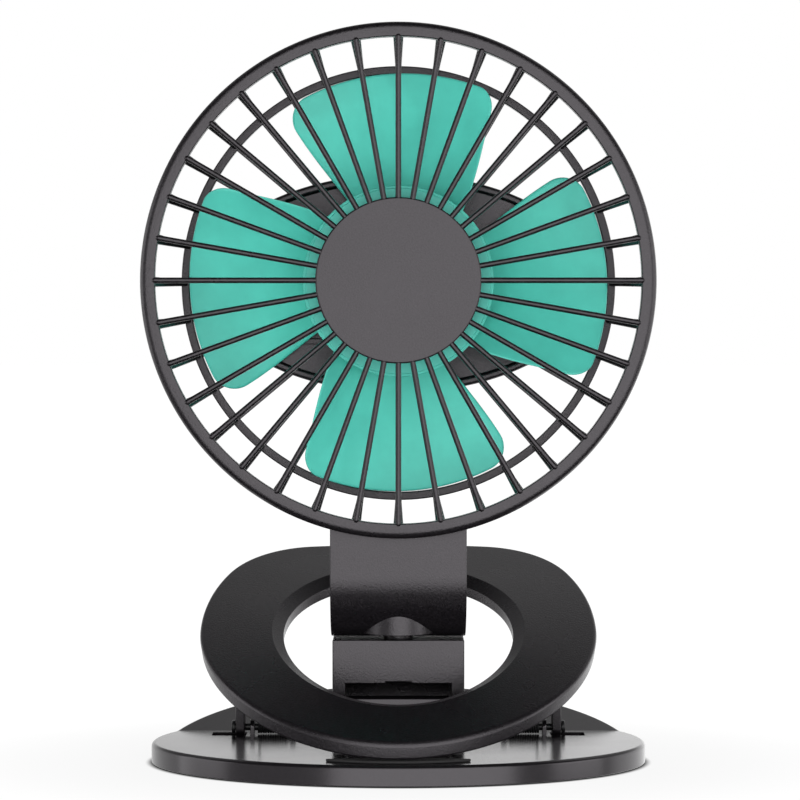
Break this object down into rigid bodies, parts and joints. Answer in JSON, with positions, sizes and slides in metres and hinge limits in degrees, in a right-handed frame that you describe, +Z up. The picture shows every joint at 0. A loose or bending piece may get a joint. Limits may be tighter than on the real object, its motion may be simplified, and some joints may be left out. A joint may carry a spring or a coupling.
{
  "type": "clip fan",
  "caption": "Rechargeable clip fan: caged impeller on a swivelling, tilting arm over an oval base with a sprung ring jaw.",
  "frame": {"origin": "on the floor, at the middle of the oval foot under the base, below the tilt bolt", "axes": "+Z up, the fan blows towards -Y, +X to the right seen from the front"},
  "size_m": [0.15, 0.11, 0.2178],
  "materials": {
    "body_plastic": "fine moulded texture, satin",
    "base_plastic": "glossy moulded plastic",
    "teal_plastic": "smooth moulded plastic",
    "rubber": "matt",
    "steel": "zinc plated",
    "spring_steel": "black oiled wire",
    "cell_wrap": "foil pouch",
    "wire": "insulated lead",
    "board": "solder mask",
    "switch_plastic": "moulded",
    "lens": "clear",
    "button_plastic": "satin"
  },
  "bodies": {
    "base": {"base_plate": "base_plastic", "bottom_cover": "body_plastic", "ballast_plate": "steel", "base_screws": "steel", "foot_pads": "rubber", "base_grip_pad": "rubber", "jaw_pins": "steel", "jaw_spring_left": "spring_steel", "jaw_spring_right": "spring_steel", "tilt_washers": "steel"},
    "jaw": {"ring_jaw": "body_plastic", "jaw_grip_pad": "rubber"},
    "bracket": {"tilt_bracket": "body_plastic", "tilt_bolt": "steel", "tilt_nut": "steel", "swivel_screw": "steel", "swivel_washer": "steel"},
    "head": {"arm_strap": "body_plastic", "arm_screws": "steel", "front_grille": "body_plastic", "rear_cage": "body_plastic", "pod_cover": "body_plastic", "pod_screws": "steel", "motor_can": "steel", "motor_screws": "steel", "motor_leads": "wire", "battery_cell": "cell_wrap", "battery_leads": "wire", "circuit_board": "board", "charging_socket": "steel", "push_switch": "switch_plastic", "led_lens": "lens"},
    "rotor": {"impeller": "teal_plastic", "motor_shaft": "steel"},
    "button": {"power_button": "button_plastic"}
  },
  "joints": [
    {"name": "tilt", "type": "hinge", "parent": "base", "child": "bracket", "pos_m": [0, 0, 0.013], "axis": [1, 0, 0], "range_deg": [-8, 12]},
    {"name": "swivel", "type": "hinge", "parent": "bracket", "child": "head", "pos_m": [0, 0.001, 0.0373], "axis": [0, 0, 1], "continuous": true},
    {"name": "impeller_spin", "type": "hinge", "parent": "head", "child": "rotor", "pos_m": [0, -0.0055, 0.1428], "axis": [0, -1, 0], "continuous": true},
    {"name": "jaw_open", "type": "hinge", "parent": "base", "child": "jaw", "pos_m": [0, 0.014, 0.0083], "axis": [-1, 0, 0], "range_deg": [0, 16], "stiffness_Nm_per_rad": 0.12, "springref_deg": -85.94, "deforming": ["jaw_spring_left", "jaw_spring_right"]},
    {"name": "button_press", "type": "slide", "parent": "head", "child": "button", "axis": [0, -1, 0], "range_m": [0, 0.0006], "stiffness_N_per_m": 600, "springref_m": -0.0008}
  ]
}
